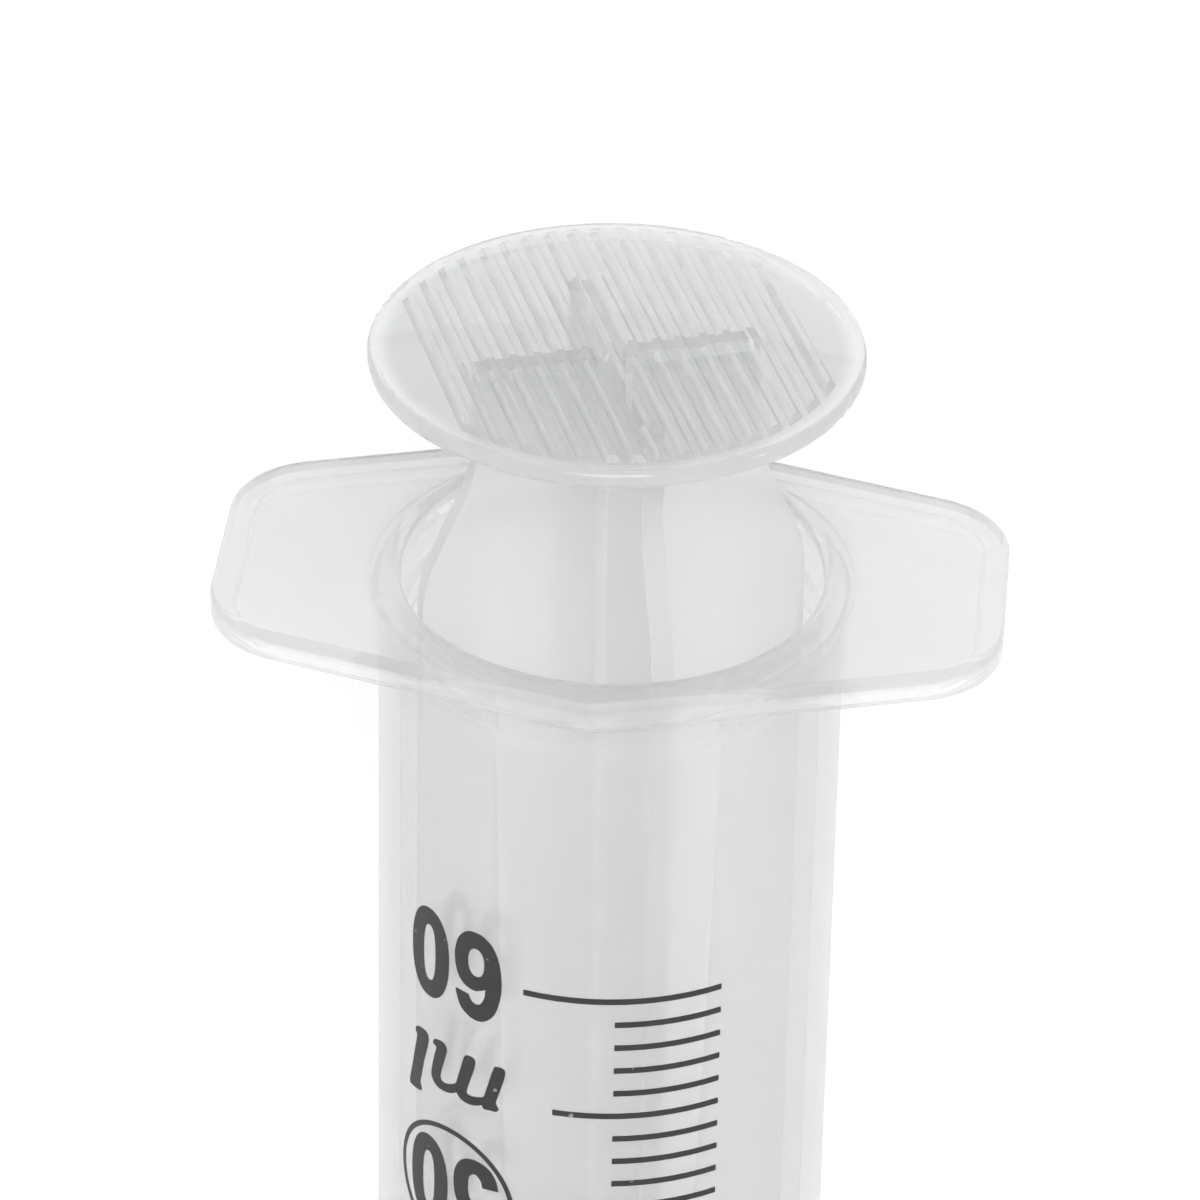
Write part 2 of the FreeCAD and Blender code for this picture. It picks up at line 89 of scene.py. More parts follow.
# %% Camera
FACE_TURN = math.radians(-4.41)
CAMERA_PITCH = 0.56814
CAMERA_ROLL = 0.019756
CAMERA_SHIFT = Vector((0.67656, 3.34373, 448.69394))
FOCAL_PIXELS = 7081.5
IMAGE_PIXELS = 1200
SENSOR_WIDTH = 36.0
VIEW_FLANGE_HEIGHT = 6.69908

viewer_x = Vector((math.cos(FACE_TURN), -math.sin(FACE_TURN), 0))
viewer_y = Vector((math.sin(FACE_TURN), math.cos(FACE_TURN), 0))
viewer_axes = Matrix((viewer_x, viewer_y, Vector((0, 0, 1)))).transposed()

look_right = Vector((1, 0, 0))
look_forward = Vector((0, math.cos(CAMERA_PITCH), -math.sin(CAMERA_PITCH)))
look_down = look_forward.cross(look_right)
level = Matrix((look_right, look_down, look_forward))
to_lens = Matrix.Rotation(CAMERA_ROLL, 3, "Z") @ level
lens_place = -(to_lens.transposed() @ CAMERA_SHIFT)
lens_place.z += FLANGE_HEIGHT - VIEW_FLANGE_HEIGHT
lens_turn = Matrix((to_lens[0], -to_lens[1], -to_lens[2])).transposed()

viewer_place = syringe_axes @ viewer_axes.to_4x4()
camera_data = bpy.data.cameras.new("photo_camera")
camera_data.sensor_width = SENSOR_WIDTH
camera_data.lens = FOCAL_PIXELS / IMAGE_PIXELS * SENSOR_WIDTH
camera_data.clip_start = 0.01
camera = bpy.data.objects.new("photo_camera", camera_data)
bpy.context.scene.collection.objects.link(camera)
camera.matrix_world = (viewer_place @ Matrix.Translation(lens_place * MM) @ lens_turn.to_4x4())
bpy.context.scene.camera = camera
print("camera at, mm", [round(v / MM, 1) for v in camera.matrix_world.translation],
      "lens", round(camera_data.lens, 1))

# %% [markdown]
# ## Small helpers for materials
# A shader tree is a list of nodes and links, so two short helpers keep the later cells
# readable: one adds a node and fills in its settings, and one makes a group with named
# inputs and outputs. Groups give out only colours, values and heights. The shader itself
# stays in each material, where its constant values sit on its own sockets.

# %% Node helpers


def add_node(tree, kind, settings=None, **inputs):
    """Add a node and set its properties, then set or link its inputs.

    An input is given by its name, with _ for a space, or by its number, as i0 or i6.
    """
    node = tree.nodes.new(kind)
    for key, value in (settings or {}).items():
        setattr(node, key, value)
    for key, value in inputs.items():
        by_number = key[0] == "i" and key[1:].isdigit()
        socket = node.inputs[int(key[1:]) if by_number else key.replace("_", " ")]
        if isinstance(value, bpy.types.NodeSocket):
            tree.links.new(value, socket)
        else:
            socket.default_value = value
    return node


def new_group(name, inputs, outputs):
    """A shader group with named sockets: (name, type, default) in, (name, type) out."""
    tree = bpy.data.node_groups.new(name, "ShaderNodeTree")
    for label, kind, default in inputs:
        socket = tree.interface.new_socket(name=label, in_out="INPUT", socket_type=kind)
        socket.default_value = default
    for label, kind in outputs:
        tree.interface.new_socket(name=label, in_out="OUTPUT", socket_type=kind)
    return tree, tree.nodes.new("NodeGroupInput"), tree.nodes.new("NodeGroupOutput")


def principled(name):
    """A new material, its tree and its shader."""
    material = bpy.data.materials.new(name)
    material.use_nodes = True
    tree = material.node_tree
    shader = tree.nodes["Principled BSDF"]
    return material, tree, shader


# %% [markdown]
# ## Milky polypropylene
# The barrel and the plunger rod are moulded from clear polypropylene. It isn't water clear
# as glass is: the plastic scatters a little light, so it looks like thin milk, and its
# skin shows the flow of the melt along the part as faint streaks. One group makes those
# streaks, an uneven gloss and a very fine skin texture, and both plastics use it.
#
# Volume scattering would be the exact way, but it is slow and noisy. Here the shader is
# part clear, part glassy and part chalky: Alpha lets some light straight through, and
# Transmission Weight splits the rest. A thick section, such as the finger flange or the
# thumb disc, holds more haze than a thin wall. So the group measures each point's height
# and distance from the axis, with a Mapping node that turns the object's coordinates into
# the syringe's own, and gives out more haze, a greyer colour and a finer polish at the
# thick end. The colour turns grey over the flange's upper half only, so its lower edge
# stays light: a painted highlight, standing in for the bright lower rim of a clear plate.
# Over the tube's wall one looks through deeper plastic, and a soft grey ring round the
# mouth paints that shade into the colour. On the rod the same ring greys the thumb disc's
# face and leaves its rim light, a painted highlight on the rounded edge.
#
# Only the rod has the skin as a bump. On the barrel the bump would break up the view
# through two walls and cost much more time than it shows.

# %% Group: flow of the melt
RING_SOFTNESS = 0.0007
STREAK_STRETCH = 0.12
SKIN_SCALE = 900.0
SKIN_HEIGHT = 0.00002


def make_melt_flow():
    """Streaks, gloss and haze by the height and distance from the axis, in metres."""
    tree, given, out = new_group(
        "melt_flow",
        [("Clear Tint", "NodeSocketColor", (0.97, 0.97, 0.97, 1)),
         ("Cloudy Tint", "NodeSocketColor", (0.94, 0.94, 0.94, 1)),
         ("Thick Tint", "NodeSocketColor", (0.9, 0.9, 0.9, 1)),
         ("Ring Tint", "NodeSocketColor", (1, 1, 1, 1)),
         ("Streaks", "NodeSocketFloat", 100.0),
         ("Polish Low", "NodeSocketFloat", 0.18),
         ("Polish High", "NodeSocketFloat", 0.24),
         ("Matt Thin", "NodeSocketFloat", 0.15),
         ("Haze Thin", "NodeSocketFloat", 0.5),
         ("Haze Thick", "NodeSocketFloat", 0.6),
         ("Thick From", "NodeSocketFloat", 0.128),
         ("Thick Fade", "NodeSocketFloat", 0.001),
         ("Polish From", "NodeSocketFloat", 0.128),
         ("Ring Radius", "NodeSocketFloat", 0.0155)],
        [("Colour", "NodeSocketColor"), ("Roughness", "NodeSocketFloat"), ("Height", "NodeSocketFloat"),
         ("Haze", "NodeSocketFloat")],
    )
    to_syringe = syringe_axes.inverted()
    place = add_node(tree, "ShaderNodeTexCoord")
    own = add_node(tree, "ShaderNodeMapping", Vector=place.outputs["Object"],
                   Location=to_syringe.to_translation(), Rotation=to_syringe.to_euler("XYZ"))
    split = add_node(tree, "ShaderNodeSeparateXYZ", Vector=own.outputs[0])
    past = add_node(tree, "ShaderNodeMath", {"operation": "SUBTRACT"}, i0=split.outputs["Z"],
                    i1=given.outputs["Thick From"])
    share = add_node(tree, "ShaderNodeMath", {"operation": "DIVIDE"}, i0=past.outputs[0],
                     i1=given.outputs["Thick Fade"])
    thick = add_node(tree, "ShaderNodeMapRange", {"interpolation_type": "SMOOTHSTEP"},
                     Value=share.outputs[0])

    # Painted shade: inside Ring Radius at the thick end the colour is multiplied by the ring's tint. On the
    # barrel this is a grey ring round the mouth, where one looks down through the tube's wall. On the rod it
    # greys the thumb disc's face so that its rim stays light, a painted highlight.
    flat = add_node(tree, "ShaderNodeCombineXYZ", X=split.outputs["X"], Y=split.outputs["Y"])
    radius = add_node(tree, "ShaderNodeVectorMath", {"operation": "LENGTH"}, i0=flat.outputs[0])
    beyond = add_node(tree, "ShaderNodeMath", {"operation": "SUBTRACT"}, i0=radius.outputs["Value"],
                      i1=given.outputs["Ring Radius"])
    inside = add_node(tree, "ShaderNodeMapRange", {"interpolation_type": "SMOOTHSTEP"},
                      Value=beyond.outputs[0], i1=-RING_SOFTNESS, i2=RING_SOFTNESS, i3=1.0, i4=0.0)
    ring = add_node(tree, "ShaderNodeMath", {"operation": "MULTIPLY"}, i0=inside.outputs[0],
                    i1=thick.outputs[0])

    along = add_node(tree, "ShaderNodeMapping", Vector=own.outputs[0], Scale=(1.0, 1.0, STREAK_STRETCH))
    streak = add_node(tree, "ShaderNodeTexNoise", Vector=along.outputs[0],
                      Scale=given.outputs["Streaks"], Detail=1.0)
    thin = add_node(tree, "ShaderNodeMix", {"data_type": "RGBA"}, i0=streak.outputs["Fac"],
                    i6=given.outputs["Clear Tint"], i7=given.outputs["Cloudy Tint"])
    # The grey of the thick end begins at Thick From. On the barrel that is halfway up the flange, so the
    # flange's lower edge stays light: a painted highlight.
    shade = add_node(tree, "ShaderNodeMix", {"data_type": "RGBA", "blend_type": "MULTIPLY"},
                     i0=thick.outputs[0], i6=thin.outputs[2], i7=given.outputs["Thick Tint"])
    ring_shaded = add_node(tree, "ShaderNodeMix", {"data_type": "RGBA", "blend_type": "MULTIPLY"},
                      i0=ring.outputs[0], i6=shade.outputs[2], i7=given.outputs["Ring Tint"])

    skin = add_node(tree, "ShaderNodeTexNoise", Vector=place.outputs["Object"], Scale=SKIN_SCALE,
                    Detail=0.0)
    polish = add_node(tree, "ShaderNodeMapRange", Value=skin.outputs["Fac"],
                      i3=given.outputs["Polish Low"], i4=given.outputs["Polish High"])
    dull = add_node(tree, "ShaderNodeMath", {"operation": "LESS_THAN"}, i0=split.outputs["Z"],
                    i1=given.outputs["Polish From"])
    matt = add_node(tree, "ShaderNodeMath", {"operation": "MULTIPLY"}, i0=dull.outputs[0],
                    i1=given.outputs["Matt Thin"])
    rough = add_node(tree, "ShaderNodeMath", {"operation": "ADD"}, i0=polish.outputs[0], i1=matt.outputs[0])
    haze = add_node(tree, "ShaderNodeMapRange", Value=thick.outputs[0], i3=given.outputs["Haze Thin"],
                    i4=given.outputs["Haze Thick"])
    tree.links.new(ring_shaded.outputs[2], out.inputs["Colour"])
    tree.links.new(rough.outputs[0], out.inputs["Roughness"])
    tree.links.new(skin.outputs["Fac"], out.inputs["Height"])
    tree.links.new(haze.outputs[0], out.inputs["Haze"])
    return tree


melt_flow = make_melt_flow()


def milky_plastic(name, bump, transmission, bending, **settings):
    """A plastic of the melt flow group; transmission and IOR are set on its own shader."""
    material, tree, shader = principled(name)
    shader.inputs["Transmission Weight"].default_value = transmission
    shader.inputs["IOR"].default_value = bending
    flow = add_node(tree, "ShaderNodeGroup", {"node_tree": melt_flow}, **settings)
    tree.links.new(flow.outputs["Colour"], shader.inputs["Base Color"])
    tree.links.new(flow.outputs["Roughness"], shader.inputs["Roughness"])
    tree.links.new(flow.outputs["Haze"], shader.inputs["Alpha"])
    if bump:
        relief = add_node(tree, "ShaderNodeBump", Height=flow.outputs["Height"], Strength=bump,
                          Distance=SKIN_HEIGHT)
        tree.links.new(relief.outputs["Normal"], shader.inputs["Normal"])
    return material


barrel_plastic = milky_plastic(
    "barrel_plastic_milky", bump=0.0, transmission=0.74, bending=1.40,
    Clear_Tint=(0.955, 0.955, 0.955, 1), Cloudy_Tint=(0.925, 0.927, 0.927, 1),
    # The ring's tint paints the shade of the tube's wall, seen through the flange, as a grey ring round the
    # mouth.
    Thick_Tint=(0.79, 0.79, 0.78, 1), Ring_Tint=(0.92, 0.92, 0.93, 1), Streaks=90.0,
    Polish_Low=0.215, Polish_High=0.245, Matt_Thin=0.015, Haze_Thin=0.44, Haze_Thick=0.85,
    # Thick_From halfway up the flange keeps the flange's lower edge light, a painted highlight.
    Thick_From=0.1297, Thick_Fade=0.0006, Polish_From=0.1283, Ring_Radius=0.0155)
# On the rod the ring's tint greys the thumb disc's face inside 14.4 mm and leaves the disc's rim light: a
# painted highlight on its rounded edge.
rod_plastic = milky_plastic(
    "rod_plastic_milky", bump=0.12, transmission=0.76, bending=1.42,
    Clear_Tint=(0.955, 0.96, 0.955, 1), Cloudy_Tint=(0.93, 0.937, 0.932, 1),
    Thick_Tint=(0.96, 0.967, 0.96, 1), Ring_Tint=(0.77, 0.777, 0.777, 1), Streaks=110.0,
    Polish_Low=0.12, Polish_High=0.16, Matt_Thin=0.2, Haze_Thin=0.58, Haze_Thick=0.80,
    Thick_From=0.139, Thick_Fade=0.005, Polish_From=0.1441, Ring_Radius=0.0144)
print("plastics", barrel_plastic.name, rod_plastic.name)

# %% [markdown]
# ## Rubber of the stopper
# The stopper is soft black rubber with a thin film of silicone oil. Rubber is never quite
# black: it is a very dark grey whose gloss changes over a few millimetres where the oil
# lies thicker. A noise drives the roughness, and a finer one gives the pressed skin.

# %% Rubber


def make_rubber():
    material, tree, shader = principled("stopper_rubber_satin")
    place = add_node(tree, "ShaderNodeTexCoord")
    oil = add_node(tree, "ShaderNodeTexNoise", Vector=place.outputs["Object"], Scale=260.0, Detail=3.0)
    gloss = add_node(tree, "ShaderNodeMapRange", Value=oil.outputs["Fac"], i3=0.28, i4=0.5)
    grain = add_node(tree, "ShaderNodeTexNoise", Vector=place.outputs["Object"], Scale=2200.0, Detail=2.0)
    colour = add_node(tree, "ShaderNodeMix", {"data_type": "RGBA"}, i0=oil.outputs["Fac"],
                      i6=(0.014, 0.014, 0.016, 1), i7=(0.034, 0.034, 0.037, 1))
    relief = add_node(tree, "ShaderNodeBump", Height=grain.outputs["Fac"], Strength=0.3, Distance=0.00003)
    tree.links.new(colour.outputs[2], shader.inputs["Base Color"])
    tree.links.new(gloss.outputs["Result"], shader.inputs["Roughness"])
    tree.links.new(relief.outputs["Normal"], shader.inputs["Normal"])
    return material


stopper_rubber = make_rubber()
print("rubber", stopper_rubber.name)

# %% [markdown]
# ## Printed ink
# The scale and numbers are printed on the barrel in dark ink, a few hundredths of a
# millimetre thick. Print on smooth plastic has pinholes and fine scratches where the
# ink didn't take, so a second noise, cut off near its top, lets a few pale specks through.

# %% Ink


def make_ink():
    material, tree, shader = principled("scale_ink_print")
    place = add_node(tree, "ShaderNodeTexCoord")
    coat = add_node(tree, "ShaderNodeTexNoise", Vector=place.outputs["Object"], Scale=700.0, Detail=3.0)
    body = add_node(tree, "ShaderNodeMix", {"data_type": "RGBA"}, i0=coat.outputs["Fac"],
                    i6=(0.012, 0.012, 0.013, 1), i7=(0.03, 0.03, 0.031, 1))
    pinholes = add_node(tree, "ShaderNodeTexNoise", Vector=place.outputs["Object"], Scale=1300.0, Detail=4.0)
    cut = add_node(tree, "ShaderNodeMapRange", Value=pinholes.outputs["Fac"], i1=0.70, i2=0.74, i3=0.0,
                   i4=0.5)
    mixed = add_node(tree, "ShaderNodeMix", {"data_type": "RGBA"}, i0=cut.outputs["Result"],
                     i6=body.outputs[2], i7=(0.55, 0.55, 0.56, 1))
    gloss = add_node(tree, "ShaderNodeMapRange", Value=coat.outputs["Fac"], i3=0.35, i4=0.55)
    tree.links.new(mixed.outputs[2], shader.inputs["Base Color"])
    tree.links.new(gloss.outputs["Result"], shader.inputs["Roughness"])
    return material


scale_ink = make_ink()

node_finish = {"barrel": barrel_plastic, "plunger_rod": rod_plastic, "stopper": stopper_rubber,
               "scale_marks": scale_ink}
for node_name, finish in node_finish.items():
    for material_slot in frame["nodes"][node_name].material_slots:
        material_slot.material = finish
print("finishes on", sorted(node_finish))

# %% [markdown]
# ## Numbers of the scale
# The numbers stand beside the long lines and are read with the nozzle up. They are bold,
# narrow figures, nearly twice as high as wide. A font would do, but fonts differ from one
# computer to the next, so each figure is a short list of outline points in tenths of a
# millimetre. A point is smooth unless it is marked as a corner. The curve is run through the
# smooth points with the Catmull-Rom rule, which passes through every point.

# %% Outlines of the figures
FIGURE_WIDTH = 36
CORNER = True


def rounded_box(middle, half, power, count=36):
    """A squarish oval: an ellipse for power 2, and squarer as the power grows."""
    ring = []
    for k in range(count):
        a = 2 * math.pi * k / count
        c, s = math.cos(a), math.sin(a)
        ring.append((middle[0] + half[0] * math.copysign(abs(c) ** (2 / power), c),
                     middle[1] + half[1] * math.copysign(abs(s) ** (2 / power), s)))
    return ring


def smooth_loop(points, steps=5):
    """Run a closed line through the points, sharp only at the points marked as corners."""
    count = len(points)
    flags = [len(p) > 2 for p in points]
    loop = []
    for k in range(count):
        p1, p2 = Vector(points[k][:2]), Vector(points[(k + 1) % count][:2])
        p0 = p1 if flags[k] else Vector(points[k - 1][:2])
        p3 = p2 if flags[(k + 1) % count] else Vector(points[(k + 2) % count][:2])
        if flags[k] and flags[(k + 1) % count]:
            loop.append(tuple(p1))
            continue
        for s in range(steps):
            t = s / steps
            loop.append(tuple(0.5 * ((2 * p1) + (p2 - p0) * t + (2 * p0 - 5 * p1 + 4 * p2 - p3) * t * t
                                     + (3 * p1 - p0 - 3 * p2 + p3) * t ** 3)))
    return loop


FIGURES = {
    "0": [rounded_box((18, 34), (18.1, 34.1), 2.25), rounded_box((18, 34), (5.8, 21.4), 2.5)],
    "1": [smooth_loop([(13.5, 68, CORNER), (24.5, 68, CORNER), (24.5, 0, CORNER), (12.3, 0, CORNER),
                       (12.3, 47, CORNER), (3.5, 45.5, CORNER), (3.5, 54.5, CORNER), (9.5, 58),
                       (13, 64)])],
    "2": [smooth_loop([(1, 47, CORNER), (3, 58.5), (9.5, 65.8), (18.5, 68), (27.5, 65.5),
                       (33.3, 58.8), (35, 49), (33.5, 40), (28.5, 31), (21.5, 21.5), (16.6, 13.5),
                       (15.4, 11, CORNER), (35, 11, CORNER), (35, 0, CORNER), (0.5, 0, CORNER),
                       (1.5, 8), (5, 17.5), (11, 27.5), (18, 37.5), (22.5, 44), (23.5, 50),
                       (21.9, 55.2), (18.3, 57.2), (14.2, 54.8), (12.6, 46.3, CORNER)])],
    "3": [smooth_loop([(1.2, 49, CORNER), (3.5, 59), (9.5, 65.8), (18, 68), (26.5, 65.8),
                       (32.2, 60), (34, 51), (32.5, 42.5), (27, 36.5, CORNER), (32.8, 31.5),
                       (35.6, 21), (34, 10.5), (28, 2.8), (18, 0), (8.5, 2.6), (2.6, 9.5),
                       (0.5, 19.5, CORNER), (12, 20.5, CORNER), (13.5, 14.3), (18, 11.2),
                       (22.6, 14.2), (24, 21), (22.3, 28), (17, 31), (13.5, 31, CORNER),
                       (13.5, 40.5, CORNER), (17.5, 40.8), (21.5, 44), (22.6, 50), (21.3, 55.2),
                       (17.6, 57.3), (13.8, 54.8), (12.4, 48.2, CORNER)])],
    "4": [smooth_loop([(19.5, 68, CORNER), (31.5, 68, CORNER), (31.5, 26, CORNER), (36, 26, CORNER),
                       (36, 15.5, CORNER), (31.5, 15.5, CORNER), (31.5, 0, CORNER),
                       (20.5, 0, CORNER), (20.5, 15.5, CORNER), (0, 15.5, CORNER), (0, 26, CORNER)]),
          smooth_loop([(20.5, 26, CORNER), (20.5, 50, CORNER), (9.6, 26, CORNER)])],
    "5": [smooth_loop([(5, 68, CORNER), (32, 68, CORNER), (32, 56.5, CORNER), (14.5, 56.5, CORNER),
                       (13.4, 44, CORNER), (16, 45.8), (21, 46.6), (28.5, 43.5), (34, 35.5),
                       (35.8, 23), (34, 11.5), (28, 3), (18.5, 0), (9, 2.5), (3, 9.5),
                       (0.8, 18.5, CORNER), (12.6, 19.8, CORNER), (14, 14.5), (18.3, 11.2),
                       (22.8, 14.8), (23.8, 23.5), (22.6, 31.5), (18.5, 35.6), (15, 34.5),
                       (12.6, 30.8, CORNER), (2.5, 32, CORNER)])],
    "6": [smooth_loop([(24.7, 49.4, CORNER), (34.4, 48.8, CORNER), (35, 50.5), (31.9, 59.8),
                       (26.5, 65.2), (19, 67.6), (11.5, 65.4), (4.8, 57.7), (1.1, 45.5), (0, 34),
                       (1.4, 19.7), (5.4, 8.2), (12.2, 1.6), (19, 0), (26.5, 1.6), (32.6, 8.2),
                       (35.4, 17), (35.9, 23.8), (34.6, 33.3), (30.6, 40.8), (24.5, 44.4),
                       (18.3, 44.6), (11.8, 41.2, CORNER), (12.6, 48.2), (15.6, 53.6), (19, 55.2),
                       (22.4, 53.6)]),
          rounded_box((18.9, 23), (6.25, 10.7), 2.2)],
}
print("figures", len(FIGURES), "points", sum(len(loop) for loops in FIGURES.values() for loop in loops))

# %% [markdown]
# ## The unit mark
# Between the 60 and the 50 stand the letters ml, in a slanted face with small serifs, so
# the strokes swell and taper. Its outline is drawn in the same way.

# %% Outlines of the letters
LETTER_STEPS = 3
LETTER_M = smooth_loop([
    (4.5, 33.6), (6.5, 35.8), (10.6, 36.2), (15.4, 36.8), (17, 34.4, CORNER), (22.1, 37),
    (28.9, 38), (34.4, 36.4), (37.1, 33.2, CORNER), (42.5, 36.6), (50.7, 38), (56.8, 36),
    (59.9, 30.8), (59.5, 25.4), (57.9, 17.3), (56.1, 10.5), (55.4, 6.6), (58.2, 5.2), (57.5, 1.8),
    (53.4, 0), (48.6, 0), (45.7, 3.7), (46.6, 9.1), (49.3, 18.6), (51.1, 25.4), (50.9, 29.8),
    (48, 31.1), (42.5, 29.5), (37.8, 26.1), (36.4, 21.3), (33.7, 11.8), (31.7, 4.3), (29.6, 0.5),
    (24.2, 0), (22.1, 3), (23.5, 10.5), (26.9, 21.3), (28.7, 28.1), (27.6, 30.6), (22.1, 30.2),
    (16, 27.4), (14.3, 22.7), (12, 14.5), (9.2, 4.3), (7.2, 0.5), (1.8, 0.2), (0, 3), (1.4, 10.5),
    (4.5, 21.3), (6.5, 28.1), (5.8, 30.8)], LETTER_STEPS)
LETTER_L = smooth_loop([
    (70.4, 49.9), (76.5, 51.2, CORNER), (83.0, 51.4, CORNER), (83.3, 47.1), (80.8, 36.3),
    (77.9, 22.7), (75.4, 10.5), (75.1, 7.3), (76.8, 5.9), (75.8, 1.8), (71.1, 0), (65.6, 0.2),
    (62.9, 3.7), (63.6, 10.5), (67, 22.7), (70.2, 37.6), (71.5, 43.8), (70.2, 46.7)], LETTER_STEPS)
print("letter points", len(LETTER_M) + len(LETTER_L))

# %% [markdown]
# ## Laying the print flat
# A flat curve with closed loops is filled by Blender itself, and a loop inside another
# one becomes a hole. All the print is laid out flat first, as on the printer's plate: u
# runs to the right as one reads it, and v runs up, which on the syringe is towards the
# nozzle. The plate is then turned into a mesh.

# %% Plate of the print
TENTH = 0.1
PRINT_BASELINE_DROP = 3.4
PRINT_LEFT = 6.68
FIGURE_GAP = 0.5
UNIT_LEFT = 6.35
UNIT_DEPTH = 29.73
RING_MIDDLE = 10.58
RING_RADIUS = 5.0
RING_LINE = 0.36
RING_POINTS = 96
NUMBERS = (10, 20, 30, 40, 50, 60)
RINGED_NUMBER = 50


def plate_loops():
    """Every outline on the plate, in mm: u to the reader's right, v towards the nozzle."""
    loops = []
    for value in NUMBERS:
        base = -at_mark(value) - PRINT_BASELINE_DROP
        for place, figure in enumerate(str(value)):
            left = PRINT_LEFT + place * (FIGURE_WIDTH * TENTH + FIGURE_GAP)
            loops += [[(left + x * TENTH, base + y * TENTH) for x, y in loop] for loop in FIGURES[figure]]
    unit_base = UNIT_DEPTH - FLANGE_HEIGHT
    for letter in (LETTER_M, LETTER_L):
        loops.append([(UNIT_LEFT + x * TENTH, unit_base + y * TENTH) for x, y in letter])
    ring_middle = (RING_MIDDLE, -at_mark(RINGED_NUMBER))
    for radius in (RING_RADIUS, RING_RADIUS - RING_LINE):
        loops.append(rounded_box(ring_middle, (radius, radius), 2, RING_POINTS))
    return loops


def filled_plate(name, loops):
    """Fill the closed loops of a flat curve and return the result as a mesh object."""
    curve = bpy.data.curves.new(name, "CURVE")
    curve.dimensions = "2D"
    curve.fill_mode = "BOTH"
    for loop in loops:
        spline = curve.splines.new("POLY")
        spline.points.add(len(loop) - 1)
        for point, (u, v) in zip(spline.points, loop):
            point.co = (u, v, 0, 1)
        spline.use_cyclic_u = True
    drawn = bpy.data.objects.new(name + "_curve", curve)
    bpy.context.scene.collection.objects.link(drawn)
    mesh = bpy.data.meshes.new_from_object(drawn.evaluated_get(bpy.context.evaluated_depsgraph_get()))
    bpy.data.objects.remove(drawn)
    bpy.data.curves.remove(curve)
    plate = bpy.data.objects.new(name, mesh)
    bpy.context.scene.collection.objects.link(plate)
    return plate


plate = filled_plate("print_plate", plate_loops())
print("plate faces", len(plate.data.polygons))

# %% [markdown]
# ## Wrapping the print round the barrel
# Geometry Nodes do the wrapping, because the print follows a surface. The tree splits the
# flat faces finely enough to bend, gives the ink its thickness, and then moves each point:
# the distance u along the plate becomes an angle round the barrel. The barrel's radius and
# the ink's thickness are named inputs, so the same tree would print on any barrel.

# %% Geometry Nodes: print round a barrel
INK_THICKNESS = 0.03
PLATE_CUTS = 2
WELD_DISTANCE = 0.0005


def new_geometry_tree(name, inputs):
    """A Geometry Nodes tree with named inputs: (name, type, default)."""
    tree = bpy.data.node_groups.new(name, "GeometryNodeTree")
    tree.interface.new_socket(name="Geometry", in_out="INPUT", socket_type="NodeSocketGeometry")
    for label, kind, default in inputs:
        socket = tree.interface.new_socket(name=label, in_out="INPUT", socket_type=kind)
        if default is not None:
            socket.default_value = default
    tree.interface.new_socket(name="Geometry", in_out="OUTPUT", socket_type="NodeSocketGeometry")
    return tree, tree.nodes.new("NodeGroupInput"), tree.nodes.new("NodeGroupOutput")


def run_tree(piece, tree, values, name):
    """Run a tree on a piece with the given input values and return the result as plain mesh."""
    modifier = piece.modifiers.new(tree.name, "NODES")
    modifier.node_group = tree
    identifiers = {s.name: s.identifier for s in tree.interface.items_tree if s.in_out == "INPUT"}
    for label, value in values.items():
        modifier[identifiers[label]] = value
    bpy.context.view_layer.update()
    mesh = bpy.data.meshes.new_from_object(piece.evaluated_get(bpy.context.evaluated_depsgraph_get()))
    piece.modifiers.remove(modifier)
    mesh.name = name
    made = bpy.data.objects.new(name, mesh)
    bpy.context.scene.collection.objects.link(made)
    return made


